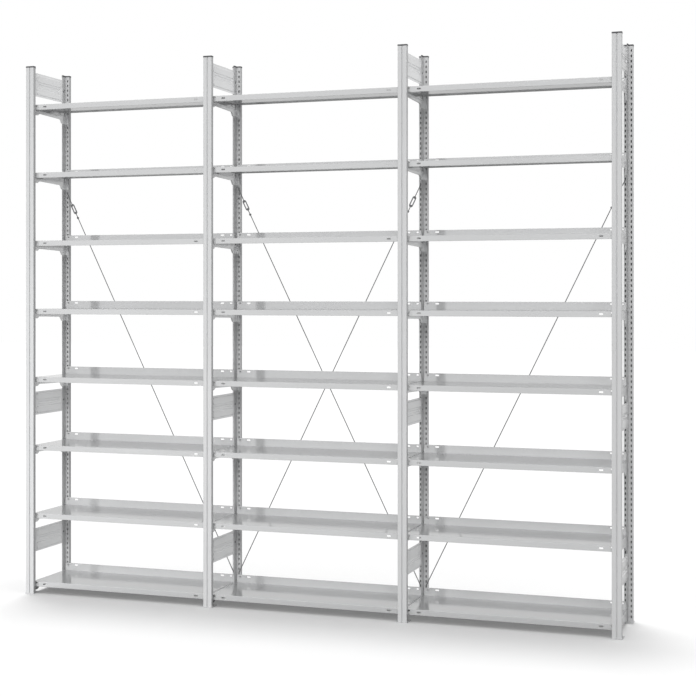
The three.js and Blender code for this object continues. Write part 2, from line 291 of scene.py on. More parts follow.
def plate(outline, holes, low, high, place):
    # a flat plate of any outline, filled round its holes
    flat, loops = [], []
    for loop in [outline] + holes:
        loops.append([len(flat) + k for k in range(len(loop))])
        flat += [Vector(point) for point in loop]
    # output type 5 leaves the holes open, and points within 1e-5 are one
    spots, _, fill, _, _, _ = delaunay_2d_cdt(flat, [], loops, 5, 1e-5)
    count = len(spots)
    points = [place(p.x, p.y, low) for p in spots] + [place(p.x, p.y, high) for p in spots]
    faces = [list(face) for face in fill]
    faces += [[index + count for index in reversed(face)] for face in fill]
    for loop in loops:
        faces += [[a, b, b + count, a + count] for a, b in zip(loop, loop[1:] + loop[:1])]
    return points, faces


def hexRadius(apothem, angle):
    # how far a hexagon reaches in this direction
    return apothem / math.cos((angle + math.pi / 6) % (math.pi / 3) - math.pi / 6)


def ringAt(z, radius, count=24, hexagon=False, limit=math.inf):
    ring = []
    for k in range(count):
        angle = math.tau * k / count
        r = min(hexRadius(radius, angle), limit) if hexagon else radius
        ring.append((r * math.cos(angle), r * math.sin(angle), z))
    return ring


def tube(path, radii, sides=12):
    # rings carried along the path without twist
    rings = []
    across = None
    for k, here in enumerate(path):
        along = (path[min(k + 1, len(path) - 1)] - path[max(k - 1, 0)]).normalized()
        across = along.orthogonal() if across is None else across - along * across.dot(along)
        across.normalize()
        other = along.cross(across)
        rings.append([here + radii[k] * (math.cos(a) * across + math.sin(a) * other)
                      for a in (math.tau * s / sides for s in range(sides))])
    return loft(rings)


def makeMesh(name, part, material, sharpAngle=35):
    mesh = bpy.data.meshes.new(name)
    mesh.from_pydata([(x * mm, y * mm, z * mm) for x, y, z in part[0]], [], part[1])
    work = bmesh.new()
    work.from_mesh(mesh)
    bmesh.ops.recalc_face_normals(work, faces=work.faces)
    work.to_mesh(mesh)
    work.free()
    mesh.shade_smooth()
    mesh.set_sharp_from_angle(angle=math.radians(sharpAngle))
    mesh.materials.append(material)
    return mesh


def addPiece(name, mesh, body, matrix=Matrix.Identity(4), standsFor=()):
    piece = newObject(name, mesh)
    piece.matrix_world = matrix
    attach(piece, body)
    if standsFor:
        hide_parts(*standsFor)


def placed(x=0, y=0, z=0, halfTurn=False):
    turn = Matrix.Rotation(math.pi if halfTurn else 0, 4, "Z")
    return Matrix.Translation((x * mm, y * mm, z * mm)) @ turn


# Shader node groups shared by the finishes
grain = {
    # scale, detail and roughness of each noise
    "clouds": (2.5, 3), "patches": (14, 4, 0.6), "peel": (650, 2), "speck": (180, 1),
    "rubbed": (35, 5, 0.65), "dusty": (9, 6, 0.7),
    "apart": 40,               # how far apart two pieces can lie in a noise
    "usual": (0.3, 0.7),       # what most of a noise lies between
    "speckShare": 0.5, "rubbedBetween": (0.48, 0.62),
    "dustyBetween": (0.35, 0.7), "leastDust": 0.2,
    "dustSlope": (0.6, 0.95),  # upward part of the normal where dust begins and is full
}


def setInputs(node, values):
    for label, value in values.items():
        node.inputs[label].default_value = value


def newGroup(name, inputs, outputs):
    # a socket called Colour is a colour, and any other is a number
    group = bpy.data.node_groups.new(name, "ShaderNodeTree")
    for way, labels in (("INPUT", inputs), ("OUTPUT", outputs)):
        for label in labels:
            kind = "NodeSocketColor" if label == "Colour" else "NodeSocketFloat"
            socket = group.interface.new_socket(name=label, in_out=way, socket_type=kind)
            if way == "INPUT":
                socket.default_value = inputs[label]
    return group, group.nodes.new("NodeGroupInput"), group.nodes.new("NodeGroupOutput")


def addNoise(tree, scale, detail, roughness=0.5):
    # noise in the piece's own axes, shifted for each piece by its random number
    coords = tree.nodes.new("ShaderNodeTexCoord")
    info = tree.nodes.new("ShaderNodeObjectInfo")
    noise = tree.nodes.new("ShaderNodeTexNoise")
    noise.noise_dimensions = "4D"
    setInputs(noise, {"Scale": scale, "Detail": detail, "Roughness": roughness})
    shift = tree.nodes.new("ShaderNodeMath")
    shift.operation = "MULTIPLY"
    shift.inputs[1].default_value = grain["apart"]
    tree.links.new(info.outputs["Random"], shift.inputs[0])
    tree.links.new(shift.outputs[0], noise.inputs["W"])
    tree.links.new(coords.outputs["Object"], noise.inputs["Vector"])
    return noise


def addMap(tree, source, fromLow, fromHigh, toLow, toHigh):
    remap = tree.nodes.new("ShaderNodeMapRange")
    setInputs(remap, {"From Min": fromLow, "From Max": fromHigh, "To Min": toLow, "To Max": toHigh})
    tree.links.new(source, remap.inputs["Value"])
    return remap.outputs["Result"]


def addMath(tree, operation, first, second):
    node = tree.nodes.new("ShaderNodeMath")
    node.operation = operation
    for socket, value in zip(node.inputs, (first, second)):
        if isinstance(value, (int, float)):
            socket.default_value = value
        else:
            tree.links.new(value, socket)
    return node.outputs[0]


def makeCoatGroup():
    # cloudy tone, satin changes and the fine orange peel of a baked coat
    group, given, made = newGroup("coatSurface", {
        "Colour": (0.7, 0.7, 0.7, 1), "Tone Change": 0.03, "Roughness": 0.3, "Roughness Change": 0.05,
    }, ["Colour", "Roughness", "Height"])
    clouds = addNoise(group, *grain["clouds"])
    patches = addNoise(group, *grain["patches"])
    peel = addNoise(group, *grain["peel"])
    speck = addNoise(group, *grain["speck"])
    centred = addMap(group, clouds.outputs["Fac"], *grain["usual"], -1, 1)
    factor = addMath(group, "MULTIPLY_ADD", centred, given.outputs["Tone Change"])
    factor.node.inputs[2].default_value = 1
    tone = group.nodes.new("ShaderNodeVectorMath")
    tone.operation = "SCALE"
    group.links.new(given.outputs["Colour"], tone.inputs[0])
    group.links.new(factor, tone.inputs["Scale"])
    group.links.new(tone.outputs["Vector"], made.inputs["Colour"])
    satin = addMap(group, patches.outputs["Fac"], *grain["usual"], -1, 1)
    change = addMath(group, "MULTIPLY", satin, given.outputs["Roughness Change"])
    group.links.new(addMath(group, "ADD", change, given.outputs["Roughness"]), made.inputs["Roughness"])
    coarse = addMath(group, "MULTIPLY", speck.outputs["Fac"], grain["speckShare"])
    group.links.new(addMath(group, "ADD", peel.outputs["Fac"], coarse), made.inputs["Height"])
    return group


def makeWearGroup():
    # mask of the outer edges, broken up so that only some stretches are rubbed
    group, given, made = newGroup("edgeWear", {
        "Amount": 0.5, "Edge Start": 0.53, "Edge End": 0.62}, ["Mask"])
    shape = group.nodes.new("ShaderNodeNewGeometry")
    patches = addNoise(group, *grain["rubbed"])
    edge = addMap(group, shape.outputs["Pointiness"], 0, 1, 0, 1)
    group.links.new(given.outputs["Edge Start"], edge.node.inputs["From Min"])
    group.links.new(given.outputs["Edge End"], edge.node.inputs["From Max"])
    broken = addMap(group, patches.outputs["Fac"], *grain["rubbedBetween"], 0, 1)
    rubbed = addMath(group, "MULTIPLY", edge, broken)
    group.links.new(addMath(group, "MULTIPLY", rubbed, given.outputs["Amount"]), made.inputs["Mask"])
    return group


def makeDustGroup():
    # thin settled dust on what faces up
    group, given, made = newGroup("settledDust", {"Amount": 0.1}, ["Mask"])
    shape = group.nodes.new("ShaderNodeNewGeometry")
    parts = group.nodes.new("ShaderNodeSeparateXYZ")
    group.links.new(shape.outputs["Normal"], parts.inputs["Vector"])
    patches = addNoise(group, *grain["dusty"])
    upward = addMap(group, parts.outputs["Z"], *grain["dustSlope"], 0, 1)
    uneven = addMap(group, patches.outputs["Fac"], *grain["dustyBetween"], grain["leastDust"], 1)
    film = addMath(group, "MULTIPLY", upward, uneven)
    group.links.new(addMath(group, "MULTIPLY", film, given.outputs["Amount"]), made.inputs["Mask"])
    return group


def makeInsideShadeGroup():
    # mask of the inside of a post's box, in the piece's own axes, where painted shade goes
    group, given, made = newGroup("insideBoxShade", {
        "Front": 0, "Back": 0, "Half Width": 0, "Groove Half": 0, "Groove Depth": 0}, ["Mask"])
    coords = group.nodes.new("ShaderNodeTexCoord")
    parts = group.nodes.new("ShaderNodeSeparateXYZ")
    group.links.new(coords.outputs["Object"], parts.inputs["Vector"])
    depth = parts.outputs["Y"]
    across = addMath(group, "ABSOLUTE", parts.outputs["X"], 0)
    between = addMath(group, "MULTIPLY", addMath(group, "GREATER_THAN", depth, given.outputs["Front"]),
                      addMath(group, "LESS_THAN", depth, given.outputs["Back"]))
    narrow = addMath(group, "LESS_THAN", across, given.outputs["Half Width"])
    beside = addMath(group, "GREATER_THAN", across, given.outputs["Groove Half"])
    behind = addMath(group, "GREATER_THAN", depth, given.outputs["Groove Depth"])
    clear = addMath(group, "MAXIMUM", beside, behind)
    hollow = addMath(group, "MULTIPLY", addMath(group, "MULTIPLY", between, narrow), clear)
    group.links.new(hollow, made.inputs["Mask"])
    return group


coatGroup = makeCoatGroup()
wearGroup = makeWearGroup()
dustGroup = makeDustGroup()
insideShadeGroup = makeInsideShadeGroup()


def useGroup(tree, group, values):
    node = tree.nodes.new("ShaderNodeGroup")
    node.node_tree = group
    setInputs(node, values)
    return node


def mixColour(tree, factor, first, second):
    mix = tree.nodes.new("ShaderNodeMix")
    mix.data_type = "RGBA"
    tree.links.new(factor, mix.inputs["Factor"])
    for label, value in (("A", first), ("B", second)):
        socket = next(s for s in mix.inputs if s.name == label and s.type == "RGBA")
        if isinstance(value, tuple):
            socket.default_value = value
        else:
            tree.links.new(value, socket)
    return next(s for s in mix.outputs if s.type == "RGBA")


def newMaterial(name):
    material = bpy.data.materials.new(name)
    material.use_nodes = True
    return material, material.node_tree, material.node_tree.nodes["Principled BSDF"]


def coatedMaterial(name, look):
    material, tree, shader = newMaterial(name)
    coat = useGroup(tree, coatGroup, {
        "Colour": look["colour"], "Tone Change": look["toneChange"],
        "Roughness": look["roughness"], "Roughness Change": look["roughnessChange"]})
    wear = useGroup(tree, wearGroup, {"Amount": look["wear"]})
    dust = useGroup(tree, dustGroup, {"Amount": look["dust"]})
    rubbed = mixColour(tree, wear.outputs["Mask"], coat.outputs["Colour"], look["wornColour"])
    dusty = mixColour(tree, dust.outputs["Mask"], rubbed, look["dustColour"])
    tree.links.new(dusty, shader.inputs["Base Color"])
    rougher = addMath(tree, "MULTIPLY", dust.outputs["Mask"], look["dustRoughness"])
    worn = addMath(tree, "MULTIPLY", wear.outputs["Mask"], look["wornRoughness"])
    total = addMath(tree, "ADD", addMath(tree, "ADD", rougher, worn), coat.outputs["Roughness"])
    tree.links.new(total, shader.inputs["Roughness"])
    bump = tree.nodes.new("ShaderNodeBump")
    setInputs(bump, {"Strength": look["peelStrength"], "Distance": look["peelDepth"] * mm})
    tree.links.new(coat.outputs["Height"], bump.inputs["Height"])
    tree.links.new(bump.outputs["Normal"], shader.inputs["Normal"])
    setInputs(shader, {
        "Metallic": look["metallic"], "Specular IOR Level": look["specular"],
        "Coat Weight": look["coat"], "Coat Roughness": look["coatRoughness"]})
    return material


# peelDepth is in millimetres, and wornRoughness and dustRoughness are added where the mask is
postLook = {
    "colour": (0.55, 0.554, 0.558, 1), "toneChange": 0.015,
    "roughness": 0.3, "roughnessChange": 0.05, "metallic": 0.0, "specular": 0.3,
    "coat": 0.1, "coatRoughness": 0.2,
    "peelStrength": 0.25, "peelDepth": 0.05,
    "wear": 0.25, "wornColour": (0.50, 0.50, 0.51, 1), "wornRoughness": 0.1,
    "dust": 0.05, "dustColour": (0.62, 0.61, 0.59, 1), "dustRoughness": 0.5,
}
shelfLook = {
    "colour": (0.57, 0.574, 0.578, 1), "toneChange": 0.02,
    "roughness": 0.09, "roughnessChange": 0.02, "metallic": 0.4, "specular": 0.05,
    "coat": 0.0, "coatRoughness": 0.03,
    "peelStrength": 0.05, "peelDepth": 0.02,
    "wear": 0.25, "wornColour": (0.50, 0.50, 0.51, 1), "wornRoughness": 0.1,
    "dust": 0.06, "dustColour": (0.60, 0.59, 0.57, 1), "dustRoughness": 0.4,
}
# painted light: panels and brackets have the posts' paint, but this colour is made much lighter to stand in
# for the light that they miss between the posts
panelLitLook = {
    "colour": (0.88, 0.885, 0.89, 1), "toneChange": 0.01,
    "roughness": 0.2, "roughnessChange": 0.03, "metallic": 0.3, "specular": 0.05,
    "coat": 0.0, "coatRoughness": 0.05,
    "peelStrength": 0.1, "peelDepth": 0.04,
    "wear": 0.2, "wornColour": (0.55, 0.55, 0.56, 1), "wornRoughness": 0.1,
    "dust": 0.04, "dustColour": (0.68, 0.67, 0.65, 1), "dustRoughness": 0.4,
}
zincLook = {
    "colour": (0.2, 0.203, 0.208, 1), "toneChange": 0.08,
    "roughness": 0.38, "roughnessChange": 0.1, "metallic": 0.9, "specular": 0.5,
    "coat": 0.0, "coatRoughness": 0.1,
    "peelStrength": 0.3, "peelDepth": 0.05,
    "wear": 0.3, "wornColour": (0.42, 0.42, 0.42, 1), "wornRoughness": -0.1,
    "dust": 0.1, "dustColour": (0.35, 0.34, 0.33, 1), "dustRoughness": 0.3,
}
capLook = {
    "colour": (0.075, 0.076, 0.08, 1), "toneChange": 0.05,
    "roughness": 0.5, "roughnessChange": 0.08, "metallic": 0.0, "specular": 0.5,
    "coat": 0.0, "coatRoughness": 0.1,
    "peelStrength": 0.5, "peelDepth": 0.08,
    "wear": 0.5, "wornColour": (0.14, 0.14, 0.145, 1), "wornRoughness": 0.1,
    "dust": 0.25, "dustColour": (0.30, 0.29, 0.28, 1), "dustRoughness": 0.3,
}
postPaint = coatedMaterial("postPaint", postLook)
shelfPaint = coatedMaterial("shelfPaint", shelfLook)
panelLitPaint = coatedMaterial("panelLitPaint", panelLitLook)
zincSteel = coatedMaterial("zincSteel", zincLook)
capPlastic = coatedMaterial("capPlastic", capLook)
print("finishes made")


# Uprights: one folded sheet, a box with a double web behind it
upright = {
    "width": 45, "boxDepth": 20, "webReach": 30, "webHalf": 2, "sheet": 1.1,
    "grooveHalf": 3.5, "grooveFloorHalf": 2.5, "grooveDepth": 5,
    "boxRadius": 1.45, "grooveRadius": 0.8, "webRadius": 1.2,
    "lead": 0.2, "pitch": 25, "firstSlot": 26, "slotColumn": 14, "slotWide": 6, "slotHigh": 13,
    "webHole": 7, "webHoleDepth": 30, "webSplit": 36,
    "boltHole": 6.4, "boltHoleDepth": 41,
    # painted shade: the dark colour of the box's inside, which stands in for the shade in it
    "insideShadeColour": (0.12, 0.12, 0.124, 1),
}
footPlate = {"width": 54, "front": 2, "behindWeb": 6, "thickness": 3, "radius": 3, "bevel": 0.5}
cap = {"above": 2, "rim": 5, "wall": 1, "fit": 0.1, "radius": 2, "bevel": 0.8, "crown": 0.3,
       "seat": 0.05, "lipInset": 0.15, "lipRise": 0.3, "neckRadius": 0.4, "tipRadius": 0.6}
frontFace = cadLow.y / mm + footPlate["front"]
rearFace = -frontFace
innerFlange = rearFace - upright["boxDepth"]
panelRows = {row: nodeBox(f"frame_panel_{row}_1") for row in ("bottom", "middle", "top")}
boltHeights = [(low[2] + high[2]) / 2 for low, high in panelRows.values()]


def uprightLine():
    half = upright["sheet"] / 2
    side = upright["width"] / 2 - half
    back = upright["boxDepth"] - half
    leaf = upright["webHalf"] - half
    right = [
        (upright["grooveFloorHalf"], upright["grooveDepth"] + half, upright["grooveRadius"]),
        (upright["grooveHalf"], half, upright["grooveRadius"]),
        (side, half, upright["boxRadius"]),
        (side, back, upright["boxRadius"]),
        (leaf, back, upright["webRadius"]),
        (leaf, upright["webSplit"]),
        (leaf, upright["boxDepth"] + upright["webReach"]),
    ]
    left = [(-corner[0], *corner[1:]) for corner in right]
    return foldLine(right[::-1] + left, lead=upright["lead"])


def uprightMarks():
    bottom = footPlate["thickness"]
    top = unitHeight - cap["above"]
    first = upright["firstSlot"] + upright["pitch"] / 2
    between = [first + k * upright["pitch"] for k in range(int((top - first) // upright["pitch"]))]
    return [bottom] + between + [top]


def uprightSheet():
    line = uprightLine()
    marks = uprightMarks()
    half = upright["sheet"] / 2
    leaf = upright["webHalf"] - half
    rows = [upright["firstSlot"] + k * upright["pitch"] for k in range(len(marks) - 1)]
    holes = []
    for heights, a, b, wide, high in (
            (rows, upright["slotColumn"], upright["boxDepth"] - half,
             upright["slotWide"], upright["slotHigh"]),
            (rows, leaf, upright["webHoleDepth"], upright["webHole"], upright["webHole"]),
            (boltHeights, leaf, upright["boltHoleDepth"], upright["boltHole"], upright["boltHole"])):
        holes += [punch(line, marks, side * a, b, z, wide, high) for z in heights for side in (-1, 1)]
    return bentSheet(straightGrid(line, marks), upright["sheet"], lambda a, b, t: (a, b, t), holes)


def teeRing(grow, z):
    half = upright["width"] / 2 + grow
    back = upright["boxDepth"] + grow
    web = upright["webHalf"] + grow
    tip = upright["boxDepth"] + upright["webReach"] + grow
    outer = cap["radius"] + grow
    neck, end = cap["neckRadius"], cap["tipRadius"]
    corners = [
        (-half, -grow, outer), (half, -grow, outer), (half, back, outer), (web, back, neck),
        (web, tip, end), (-web, tip, end), (-web, back, neck), (-half, back, outer),
    ]
    return flatRing(corners, outer, z)


def capShell():
    # pushed over the upright, with a bevelled crown
    top = unitHeight
    bottom = top - cap["above"] - cap["rim"]
    bevel = cap["bevel"]
    crown = bevel * cap["crown"]
    return loft([
        teeRing(cap["fit"], top - cap["above"] + cap["seat"]),
        teeRing(cap["fit"], bottom),
        teeRing(cap["wall"] - cap["lipInset"], bottom),
        teeRing(cap["wall"], bottom + cap["lipRise"]),
        teeRing(cap["wall"], top - bevel),
        teeRing(cap["wall"] - crown, top - crown),
        teeRing(cap["wall"] - bevel, top),
    ])


def footSolid():
    half = footPlate["width"] / 2
    near = -footPlate["front"]
    far = upright["boxDepth"] + upright["webReach"] + footPlate["behindWeb"]
    bevel = footPlate["bevel"]

    def ring(shrink, z):
        a = half - shrink
        corners = [(-a, near + shrink), (a, near + shrink), (a, far - shrink), (-a, far - shrink)]
        return flatRing(corners, footPlate["radius"] - shrink, z)

    height = footPlate["thickness"]
    return loft([ring(bevel, 0), ring(0, bevel), ring(0, height - bevel), ring(bevel, height)])


def paintInsideShade(material):
    # painted shade: the inside of the box is coloured dark in place of the shade within it, so that its
    # slots look dark
    tree = material.node_tree
    base = tree.nodes["Principled BSDF"].inputs["Base Color"]
    half = upright["sheet"] / 2
    inside = useGroup(tree, insideShadeGroup, {
        "Front": half * mm,
        "Back": (upright["boxDepth"] - half) * mm,
        "Half Width": (upright["width"] / 2 - half) * mm,
        "Groove Half": (upright["grooveHalf"] + half) * mm,
        "Groove Depth": (upright["grooveDepth"] + half) * mm})
    painted = base.links[0].from_socket
    tree.links.new(mixColour(tree, inside.outputs["Mask"], painted, upright["insideShadeColour"]), base)


paintInsideShade(postPaint)
capMesh = makeMesh("upright_cap", capShell(), capPlastic)
footMesh = makeMesh("foot_plate", footSolid(), postPaint)
uprightMesh = makeMesh("upright", uprightSheet(), postPaint)
for number in frameNumbers:
    for row, y in (("front", frontFace), ("rear", rearFace)):
        matrix = placed(postX[number], y, 0, row == "rear")
        addPiece(f"{row}_upright_{number}", uprightMesh, "frame", matrix,
                 [f"upright_{row}_{number}"])
        addPiece(f"{row}_cap_{number}", capMesh, "frame", matrix)
        addPiece(f"{row}_foot_{number}", footMesh, "frame", matrix)
print("uprights, caps and feet made")


# Shelves: one folded sheet with a hem, a front fold and a back stop, and a fold at each end
shelf = {
    "sheet": 1.2, "fold": 27, "hem": 10, "rearLip": 7, "backStop": 39, "bendSteps": 4,
    "bend": 1.6, "hemBend": 1.1, "lipBend": 0.7, "lipGap": 0.3, "endBend": 1.2,
    "slotFromPost": 74, "slotWide": 20, "slotHigh": 8, "slotDrop": 13,
    "eyeFromPost": 26, "eyeWide": 10, "eyeHigh": 7, "eyeDrop": 7.4,
    "stopDrop": 10, "stopEyeWide": 12, "stopEyeHigh": 8,
    "slotCell": (55, 93), "eyeCell": (17, 36),
    "endHoles": [-110, -76, 93], "endHole": 9, "endHoleDrop": 18, "endCell": 14,
}


def shelfFolded(length, front, rear):
    half = shelf["sheet"] / 2
    bottom = -shelf["fold"] + half
    lip = -shelf["rearLip"] + half
    face = front + half
    stop = rear - half
    inner = stop - shelf["sheet"] - shelf["lipGap"]
    line = foldLine([
        (front + shelf["hem"], bottom), (face, bottom, shelf["hemBend"]),
        (face, -half, shelf["bend"]), (inner, -half, shelf["bend"]),
        (inner, lip, shelf["lipBend"], 0), (stop, lip, shelf["lipBend"], 0), (stop, shelf["backStop"]),
    ], steps=shelf["bendSteps"])
    postGap = (postX[2] - postX[1]) / 2
    endX = length / 2 - shelf["sheet"] - shelf["endBend"]
    right = [postGap - mark for mark in (*shelf["slotCell"][::-1], *shelf["eyeCell"][::-1])]
    marks = [-endX] + [-mark for mark in right[::-1]] + right + [endX]
    stopZ = shelf["backStop"] - shelf["stopDrop"]
    holes = []
    for side in (-1, 1):
        slotX = side * (postGap - shelf["slotFromPost"])
        eyeX = side * (postGap - shelf["eyeFromPost"])
        for a, b, t, wide, high in (
                (face, -shelf["slotDrop"], slotX, shelf["slotWide"], shelf["slotHigh"]),
                (face, -shelf["eyeDrop"], eyeX, shelf["eyeWide"], shelf["eyeHigh"]),
                (stop, stopZ, slotX, shelf["slotWide"], shelf["slotHigh"]),
                (stop, stopZ, eyeX, shelf["stopEyeWide"], shelf["stopEyeHigh"])):
            holes.append(punch(line, marks, a, b, t, high, wide))
    tray = bentSheet(straightGrid(line, marks), shelf["sheet"], lambda a, b, t: (t, a, b), holes)
    outer = length / 2 - half
    endLine = foldLine([(endX, -half), (outer, -half, shelf["endBend"]), (outer, -shelf["fold"])], lead=0)
    endMarks = [front]
    for y in shelf["endHoles"]:
        endMarks += [y - shelf["endCell"], y + shelf["endCell"]]
    endMarks.append(inner - half - shelf["bend"])
    size = shelf["endHole"]
    endHoles = [punch(endLine, endMarks, outer, -shelf["endHoleDrop"], y, size, size)
                for y in shelf["endHoles"]]
    endFold = bentSheet(straightGrid(endLine, endMarks), shelf["sheet"],
                        lambda a, b, t: (a, t, b), endHoles)
    return joined([tray, endFold, stretchedBy(endFold, x=-1)])


low, high = nodeBox("shelf_left_1")
shelfMesh = makeMesh("shelf_board", shelfFolded(high[0] - low[0], low[1], high[1]), shelfPaint)
shelfTop = {}
for level in levels:
    for bay in bayNames:
        node = f"shelf_{bay}_{level}"
        low, high = nodeBox(node)
        shelfTop[level] = high[2] - shelf["backStop"]
        addPiece(f"board_{bay}_{level}", shelfMesh, node,
                 placed((low[0] + high[0]) / 2, 0, shelfTop[level]), [node])
print("shelves made")


# Brackets: a side plate with a flange at each end, a ledge under the shelf and two hooks
bracket = {
    "sheet": 1.5, "gap": 0.3, "topDrop": 1, "bend": 1.5, "foldLead": 0.5, "hookLap": 0.2,
    "front": {"leg": 50, "waist": 40}, "rear": {"leg": 66, "waist": 45}, "floorClearance": 4,
    "legLength": 42, "curve": 22, "curveSteps": 8, "flangeTop": 14, "flangeFoot": 18,
    "ledge": 12, "ledgeBelowFold": 0.3,
    "hookWide": 3, "hookHigh": 8, "hookReach": 4.3, "hookLip": 2, "hookDrop": 4, "slotBelowTop": 34,
}


def bracketHalfOutline(flatEnd, legInner, leg, waist):
    points = [(flatEnd, -bracket["topDrop"]), (flatEnd, -leg)]
    for k in range(bracket["curveSteps"] + 1):
        share = k / bracket["curveSteps"]
        rise = (leg - waist) * (1 - math.cos(math.pi * share)) / 2
        points.append((legInner - bracket["curve"] * share, -leg + rise))
    return points


def endFlange(flatEnd, middle, leg):
    # the flange turns out of the plate's end, and its free edge leans out towards the foot
    half = bracket["sheet"] / 2
    across = upright["webHalf"] + bracket["gap"] + half
    line = foldLine([(across, flatEnd), (across, middle, bracket["bend"]), (bracket["flangeFoot"], middle)])
    grid = []
    for z, tip in ((-leg, bracket["flangeFoot"]), (-bracket["topDrop"], bracket["flangeTop"])):
        row = [(point.x, point.y, z) for point in line]
        row[-1] = (tip, middle, z)
        grid.append(row)
    return bentSheet(grid, bracket["sheet"], lambda a, b, t: (a, b, t))


def bracketHook():
    root = innerFlange - bracket["gap"] - bracket["hookLap"]
    tip = innerFlange + bracket["hookReach"]
    floor = -bracket["slotBelowTop"] - upright["slotHigh"] / 2
    outline = [
        (root, floor + bracket["gap"]), (tip - bracket["hookLip"], floor + bracket["gap"]),
        (tip - bracket["hookLip"], floor - bracket["hookDrop"]), (tip, floor - bracket["hookDrop"]),
        (tip, floor + bracket["hookHigh"]), (root, floor + bracket["hookHigh"]),
    ]
    half = bracket["hookWide"] / 2
    column = upright["slotColumn"]
    return plate(outline, [], column - half, column + half, lambda y, z, x: (x, y, z))


def bracketParts(rearLeg):
    near = upright["webHalf"] + bracket["gap"]
    middle = innerFlange - bracket["gap"] - bracket["sheet"] / 2
    legInner = innerFlange - bracket["gap"] - bracket["sheet"] - bracket["legLength"]
    flatEnd = middle - bracket["bend"] - bracket["foldLead"]
    rear = bracketHalfOutline(flatEnd, legInner, rearLeg, bracket["rear"]["waist"])
    front = bracketHalfOutline(flatEnd, legInner, bracket["front"]["leg"], bracket["front"]["waist"])
    outline = rear + [(-y, z) for y, z in reversed(front)]
    size = shelf["endHole"]
    holes = [slotLoop(y, -shelf["endHoleDrop"], size, size) for y in shelf["endHoles"]]
    side = plate(outline, holes, near, near + bracket["sheet"], lambda y, z, x: (x, y, z))
    ledgeTop = -shelf["fold"] - bracket["ledgeBelowFold"]
    ledgeLine = [Vector((near + bracket["sheet"], ledgeTop - bracket["sheet"] / 2)),
                 Vector((bracket["ledge"], ledgeTop - bracket["sheet"] / 2))]
    ledge = bentSheet(straightGrid(ledgeLine, [-legInner, legInner]), bracket["sheet"],
                      lambda a, b, t: (a, t, b))
    hook = bracketHook()
    return joined([
        side, ledge, endFlange(flatEnd, middle, rearLeg),
        stretchedBy(endFlange(flatEnd, middle, bracket["front"]["leg"]), y=-1),
        hook, stretchedBy(hook, y=-1),
    ])


usual = bracketParts(bracket["rear"]["leg"])
lowest = bracketParts(shelfTop[1] - bracket["floorClearance"])
bracketStack = joined([movedBy(lowest if level == 1 else usual, z=shelfTop[level]) for level in levels])
# the brackets take the lighter panel colour, which stands in for light they miss
bracketMeshes = {
    -1: makeMesh("brackets_left", stretchedBy(bracketStack, x=-1), panelLitPaint),
    1: makeMesh("brackets_right", bracketStack, panelLitPaint),
}
for number in frameNumbers:
    for side, word in ((-1, "left"), (1, "right")):
        if number + side in (0, 1 + len(frameNumbers)):
            continue
        addPiece(f"brackets_{number}_{word}", bracketMeshes[side], "frame",
                 placed(postX[number]))
print("brackets made")


# Frame panels: a pressed sheet with three beads, let in between the leaves of the webs
panel = {
    "sheet": 1.2, "raise": 3, "slope": 2.6, "step": 1.3, "wideStep": 24,
    # from post, bottom, top, corner, and the side that it stands out to
    "beads": [(12, 9, 45, 12, 1), (26, 53, 67, 6, -1), (12, 75, 111, 12, 1)],
    # where the slopes of the beads need the fine steps, up the panel and from the end of the webs
    "fineRows": [(8, 23), (31, 46), (52, 68), (74, 89), (97, 112)], "fineEnds": [(44, 24), (24, 10)],
    "sharpAbove": 50,
}


def beadHeight(y, z, webEnd):
    height = 0
    for fromPost, bottom, top, corner, side in panel["beads"]:
        half = Vector((webEnd - fromPost, (top - bottom) / 2))
        away = Vector((abs(y), abs(z - (bottom + top) / 2))) - half + Vector((corner, corner))
        outside = Vector((max(away.x, 0), max(away.y, 0))).length + min(max(away.x, away.y), 0)
        share = min(max((corner - outside) / panel["slope"], 0), 1)
        height += side * panel["raise"] * share * share * (3 - 2 * share)
    return height


def lineMarks(start, end, breaks):
    # fine steps between each pair of breaks, wide ones elsewhere
    marks = [start]
    for low, high in breaks:
        gap = low - marks[-1]
        wide = max(1, round(gap / panel["wideStep"]))
        if gap > least:
            marks += [marks[-1] + gap * k / wide for k in range(1, wide + 1)]
        fine = max(1, round((high - low) / panel["step"]))
        marks += [low + (high - low) * k / fine for k in range(1, fine + 1)]
    if end - marks[-1] > least:
        marks.append(end)
    return marks


def pressedPanel(length, height):
    webEnd = innerFlange - upright["webReach"]
    endZones = [(webEnd - far, webEnd - near) for far, near in panel["fineEnds"]]
    breaks = [(-b, -a) for a, b in reversed(endZones)] + endZones
    across = lineMarks(-length / 2, length / 2, breaks)
    upward = lineMarks(0, height, panel["fineRows"])
    grid = [[(y, beadHeight(y, z, webEnd), z) for y in across] for z in upward]
    return bentSheet(grid, panel["sheet"], lambda a, b, t: (b, a, t))


low, high = panelRows["bottom"]
panelMesh = makeMesh("frame_panel", pressedPanel(high[1] - low[1], high[2] - low[2]), panelLitPaint,
                     panel["sharpAbove"])
for number in frameNumbers:
    for row, (low, high) in panelRows.items():
        node = f"frame_panel_{row}_{number}"
        addPiece(f"panel_{row}_{number}", panelMesh, "frame",
                 placed(postX[number], 0, low[2]), [node])

bolt = {
    "radius": 5, "height": 1.6, "gap": 0.3, "shank": 2.6, "key": 1.9, "keyDepth": 0.9, "seat": 0.05,
    "headSteps": [(0.1, 0.62), (0.55, 0.9), (1.1, 1)],  # drop, and share of the radius
    "nutShare": 0.866, "nutCorner": 0.88, "nutBevel": 0.5,
}


